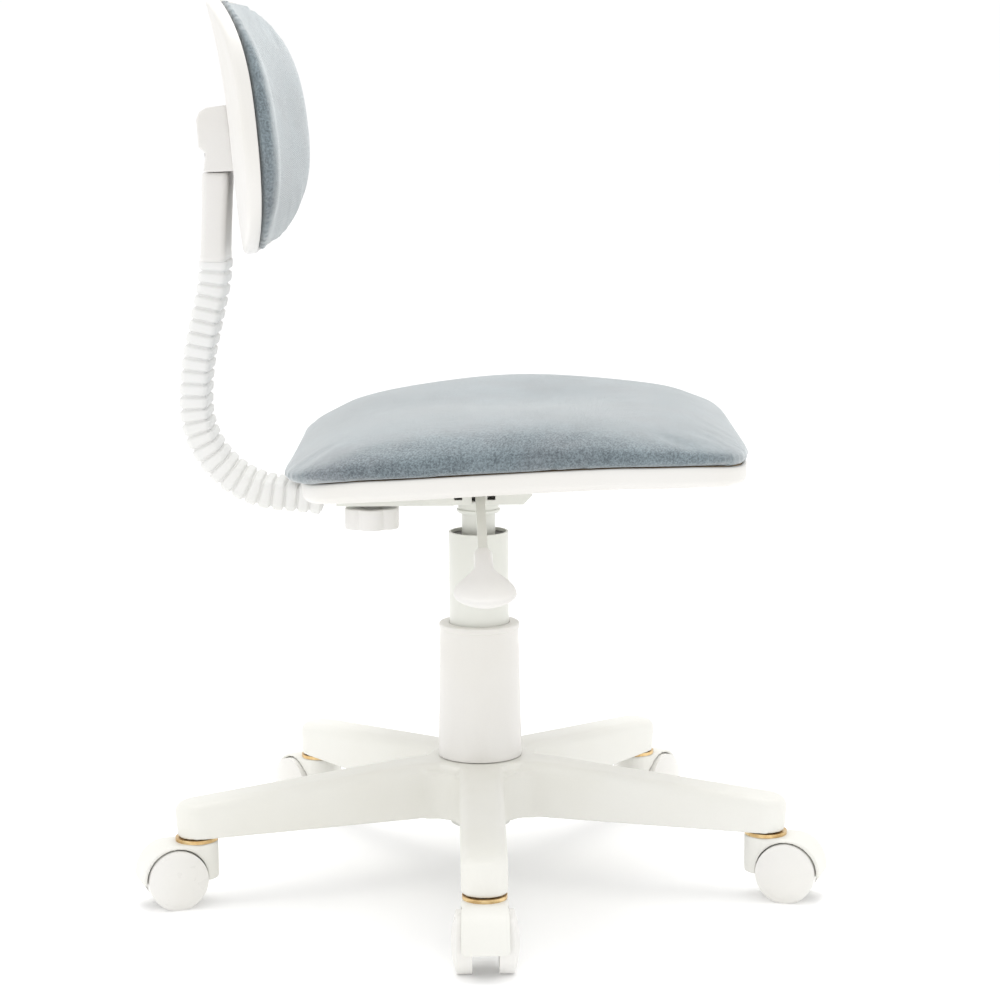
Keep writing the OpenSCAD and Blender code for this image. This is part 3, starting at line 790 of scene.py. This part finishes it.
def sleeve():
    """Moulded sleeve over the bar: slightly full above, with a lip at each end."""
    x, z, h = bar_end
    rows = [(519.6, 56.4, 19.8), (520.2, 57.6, 21.0), (524.5, 58.0, 21.2), (526.0, 57.2, 20.6),
            (545.0, 57.2, 20.4), (570.0, 57.4, 20.8), (584.0, 57.8, 21.2), (588.0, 57.8, 21.0),
            (590.6, 57.2, 20.4), (591.4, 56.0, 19.2)]
    a = math.radians(h)
    rings = []
    for height, wide, thick in rows:
        back = (z - height) / math.sin(a)
        pose = (x - back * math.cos(a), height, 90.0)
        rings.append(section(pose, wide, thick, 5.0))
    return skin(rings)


ridden(shape("bar_sleeve_moulded", *sleeve(), "white_plastic"), "back_upright", "bar_sleeve")


# ---------------------------------------------------------------- column cover and lever grip

cover = rounded([(35.1, 102.5, 0.8), (33.0, 210.6, 0.4), (33.7, 211.4, 0.5), (33.7, 215.9, 1.3),
                 (25.4, 215.9, 0.3), (25.4, 213.0, 0), (30.3, 213.0, 0), (32.6, 102.5, 0)])
ridden(lathe("column_cover_moulded", cover, "white_plastic", 128), "base", "column_cover")


def grip():
    """Spoon grip: a round neck that widens into a flat oval blade with a thick lower edge."""
    rows = [(-126.1, 2.0, 2.0), (-126.5, 5.0, 4.4), (-127.8, 6.6, 5.4), (-130.0, 7.2, 5.8),
            (-142.0, 7.4, 5.8), (-152.0, 7.6, 5.6), (-158.0, 8.6, 5.2), (-164.0, 12.2, 4.9),
            (-170.0, 16.2, 4.6), (-176.0, 19.6, 4.4), (-182.0, 22.2, 4.2), (-189.0, 23.8, 4.1),
            (-196.0, 24.0, 4.0), (-201.0, 22.6, 3.9), (-205.0, 19.6, 3.8), (-208.5, 14.6, 3.4),
            (-211.0, 8.6, 2.8), (-212.2, 2.0, 1.0)]
    turn = Matrix.Rotation(math.radians(1.7), 3, "Z") @ Matrix.Rotation(math.radians(16.7), 3, "X")
    turn = np.array(turn)
    rings = []
    for y, half_w, half_t in rows:
        drop = -1.2 - 1.8 * min(1.0, max(0.0, (-150 - y) / 36))
        ring = []
        for j in range(40):
            a = math.tau * j / 40
            u = half_w * math.copysign(abs(math.cos(a)) ** 0.8, math.cos(a))
            v = half_t * math.copysign(abs(math.sin(a)) ** 0.9, math.sin(a))
            dish = 1.2 * (u / 23.5) ** 2 if y < -165 else 0.0
            ring.append((u, y, drop + v + dish))
        rings.append(np.array(ring) @ turn.T + np.array((1.0, -30.0, 338.0)))
    return skin(rings)


ridden(shape("lever_grip", *grip(), "white_plastic"), "lever", "lever_paddle")


# ---------------------------------------------------------------- moulded pieces from CAD solids

FIRST_LEG = 271.1  # direction of the first leg, in degrees
LEG_HALF_W = 18.0
WEB_CURVE = 24.0  # radius of the hollow curve between two legs


def corner_web(n):
    """Fills the corner between two legs of the star, up to a hollow curve."""
    half = math.radians(36)
    far = (LEG_HALF_W + WEB_CURVE) / math.sin(half)
    near = (LEG_HALF_W + WEB_CURVE) / math.tan(half)
    inner = LEG_HALF_W - 3.0
    outline = [(24.3, 17.6), (near, inner)]
    for s in range(13):
        a = math.radians(36 + 180 + 54 - 108 * s / 12)
        outline.append((far * math.cos(half) + WEB_CURVE * math.cos(a),
                        far * math.sin(half) + WEB_CURVE * math.sin(a)))
    b = 2 * half
    outline.append((near * math.cos(b) + inner * math.sin(b),
                    near * math.sin(b) - inner * math.cos(b)))
    turn = math.radians(FIRST_LEG + 72 * (n - 1))
    c, s = math.cos(turn), math.sin(turn)
    flat = [(x * c - y * s, x * s + y * c) for x, y in outline]
    return skin([[(x, y, z) for x, y in flat] for z in (55.5, 70.0, 85.0, 96.0)])


# a ring that makes the hub's upper face whole under the column cover
hub_deck = skin([[(r * math.cos(math.tau * j / 72), r * math.sin(math.tau * j / 72), z)
                  for j in range(72)] for r, z in ((28, 93), (44, 93), (44, 102), (28, 102))],
                loop=True)
webs = [corner_web(n) for n in range(1, 6)] + [hub_deck]
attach(moulding("star_base_moulded", ["star_base"], 1.8, 6, "white_nylon", webs), "base")
bracket = moulding("back_bracket_moulded", ["back_bracket"], 0.9, 4, "white_plastic")


def up_to_shell(p):
    """Carries the bracket's face up to the shell's rear surface."""
    q = back_local(p)
    gap = 1.6 + np.polyval(BOW, q[:, 2])
    q[:, 0] += gap * np.clip((q[:, 0] + gap + 8) / 8, 0, 1)
    return on_back(q)


reshape(bracket, up_to_shell)
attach(bracket, "backrest")
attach(moulding("clamp_knob_moulded", ["clamp_knob"], 0.8, 3, "white_plastic"), "knob")
for n in range(1, 6):
    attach(moulding(f"hood_moulded_{n}", [f"hood_{n}"], 0.9, 3, "white_nylon"), f"caster_{n}")


# ---------------------------------------------------------------- the CAD nodes that stay

for node, thing in NODES.items():
    if thing.hide_render:
        continue
    mesh = thing.data
    mesh.materials.clear()
    mesh.materials.append(MATERIALS[SLOT_OF[node]])
    mesh.polygons.foreach_set("use_smooth", [True] * len(mesh.polygons))
    softened(thing, 0.4)


# ---------------------------------------------------------------- floor

floor_nodes = Nodes("floor")
floor_nodes.set(Roughness=0.9, Specular_IOR_Level=0.1, Emission_Color=(1.0, 1.0, 1.0),
                Emission_Strength=0.12)
floor_nodes.link(floor_nodes.mix(floor_nodes.noise(3.0), (0.95, 0.95, 0.95), (0.97, 0.97, 0.97)),
                 floor_nodes.shader.inputs["Base Color"])
FLOOR_HALF = 14.0
corners = [(-FLOOR_HALF, -FLOOR_HALF, 0), (FLOOR_HALF, -FLOOR_HALF, 0),
           (FLOOR_HALF, FLOOR_HALF, 0), (-FLOOR_HALF, FLOOR_HALF, 0)]
floor_mesh = bpy.data.meshes.new("floor")
floor_mesh.from_pydata(corners, [], [(0, 1, 2, 3)])
floor_mesh.materials.append(floor_nodes.material)
floor = bpy.data.objects.new("floor", floor_mesh)
scene.collection.objects.link(floor)
